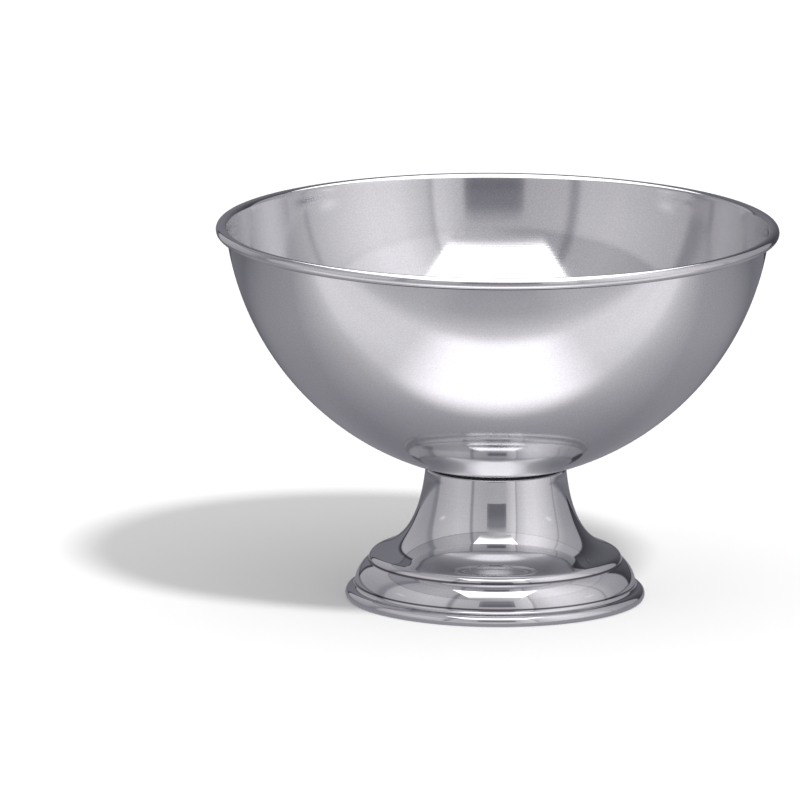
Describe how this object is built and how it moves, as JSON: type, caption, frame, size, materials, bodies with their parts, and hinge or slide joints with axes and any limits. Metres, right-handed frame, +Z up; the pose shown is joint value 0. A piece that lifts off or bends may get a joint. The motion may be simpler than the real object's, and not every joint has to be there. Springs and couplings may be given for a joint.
{
  "type": "punch bowl",
  "caption": "Round spun stainless-steel punch bowl with a rolled rim, clamped by a stud and wing nut to a flared pedestal with a moulded foot.",
  "frame": {"origin": "middle of the foot, on the table surface", "axes": "+Z up along the bowl's axis; the bowl is round, so X and Y are free, and the wings of the nut lie along X"},
  "size_m": [0.3999, 0.4, 0.2691],
  "materials": {
    "satin_steel": "spun and satin polished, bright near the rim",
    "polished_steel": "mirror polished outside, bare inside",
    "gasket_rubber": "matt black",
    "hardware_steel": "bright stainless fasteners"
  },
  "bodies": {
    "bowl_on_pedestal": {"bowl": "satin_steel", "mounting_stud": "hardware_steel", "seat_gasket": "gasket_rubber", "pedestal": "polished_steel"},
    "washers": {"flat_washer": "hardware_steel", "spring_washer": "hardware_steel"},
    "nut": {"wing_nut": "hardware_steel"}
  },
  "joints": [
    {"name": "washer_travel", "type": "slide", "parent": "bowl_on_pedestal", "child": "washers", "axis": [0, 0, -1], "range_m": [0, 0.01252]},
    {"name": "wing_nut_turn", "type": "hinge", "parent": "washers", "child": "nut", "pos_m": [0, 0, 0.0779], "axis": [0, 0, -1], "range_deg": [0, 3600]}
  ],
  "couplings": [
    {"joint": "washer_travel", "follows": "wing_nut_turn", "m_per_rad": 0.00019894}
  ]
}
